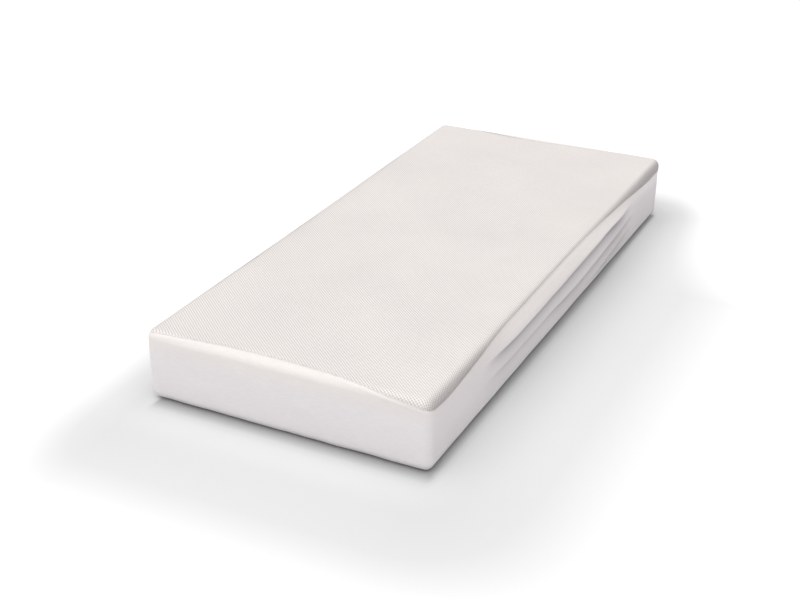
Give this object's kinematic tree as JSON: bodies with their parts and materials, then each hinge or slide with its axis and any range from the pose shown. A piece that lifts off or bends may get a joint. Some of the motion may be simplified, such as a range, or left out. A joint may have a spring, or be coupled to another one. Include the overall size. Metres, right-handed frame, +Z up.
{
  "type": "memory foam mattress",
  "caption": "Single memory foam mattress: a removable zipped knit cover with a textured top panel and plain stretch skirt, over an inner sleeve and a bonded foam stack.",
  "frame": {"origin": "centre of the mattress's bounding box in plan, at the level of its underside", "axes": "+Z up out of the sleeping surface, +Y along the length away from the end with the zip, +X across the width"},
  "size_m": [0.9, 2, 0.22],
  "materials": {
    "panel_knit": "warm white double-jersey knit with a small diamond relief",
    "skirt_knit": "plain white stretch knit, soft matt",
    "base_fabric": "plain woven polyester, matt",
    "seam_tape": "white polyester binding",
    "label_satin": "blank white satin",
    "zip_tape": "white woven polyester tape",
    "zip_nylon": "white nylon coil",
    "zip_metal": "nickel-plated zinc alloy",
    "sleeve_knit": "off-white stretch stockinette",
    "memory_foam": "cream open-cell viscoelastic foam",
    "transition_foam": "pale blue open-cell foam",
    "support_foam": "white open-cell polyurethane foam"
  },
  "bodies": {
    "root": {"cover_top_panel": "panel_knit", "cover_skirt": "skirt_knit", "top_seam_cord": "seam_tape", "base_panel": "base_fabric", "base_seam_binding": "seam_tape", "care_label": "label_satin", "zip_tape_skirt": "zip_tape", "zip_tape_base": "zip_tape", "zip_coil_skirt": "zip_nylon", "zip_coil_base": "zip_nylon", "zip_bottom_stop": "zip_metal", "zip_top_stop_skirt": "zip_metal", "zip_top_stop_base": "zip_metal", "inner_sleeve": "sleeve_knit", "sleeve_closing_seam": "seam_tape", "memory_foam_layer": "memory_foam", "transition_foam_layer": "transition_foam", "support_foam_core": "support_foam"},
    "slider": {"zip_slider": "zip_metal"},
    "pull_tab": {"zip_pull_tab": "zip_metal"}
  },
  "joints": [
    {"name": "zip_travel", "type": "slide", "parent": "root", "child": "slider", "axis": [-1, 0, 0], "range_m": [0, 0.61]},
    {"name": "pull_tab_swing", "type": "hinge", "parent": "slider", "child": "pull_tab", "pos_m": [0.303, -0.915, 0.0033], "axis": [0, -1, 0], "range_deg": [0, 170]}
  ]
}
